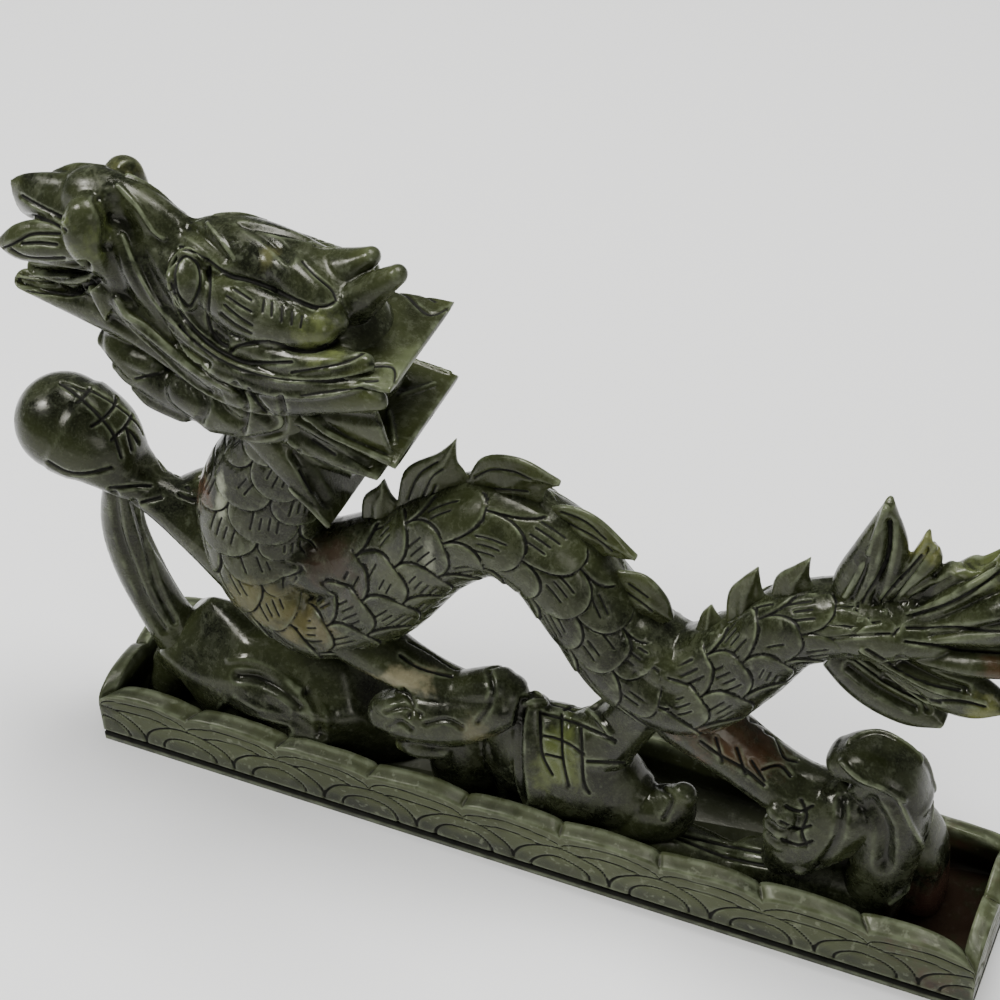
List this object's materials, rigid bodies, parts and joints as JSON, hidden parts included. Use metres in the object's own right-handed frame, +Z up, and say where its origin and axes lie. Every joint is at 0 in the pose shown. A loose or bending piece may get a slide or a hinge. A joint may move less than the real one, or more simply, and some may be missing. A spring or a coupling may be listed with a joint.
{
  "type": "stone dragon carving",
  "caption": "Dragon carved with its scalloped wave tray from one block of dark green stone; stands on its flat underside.",
  "frame": {"origin": "middle of the tray's flat underside", "axes": "+X along the tray towards the tail, -X towards the head, -Y towards the viewer, +Z up"},
  "size_m": [0.2705, 0.0412, 0.1765],
  "materials": {
    "serpentine": "polished dark green serpentine with olive thin edges"
  },
  "bodies": {
    "root": {"dragon_carving": "serpentine"}
  },
  "joints": []
}
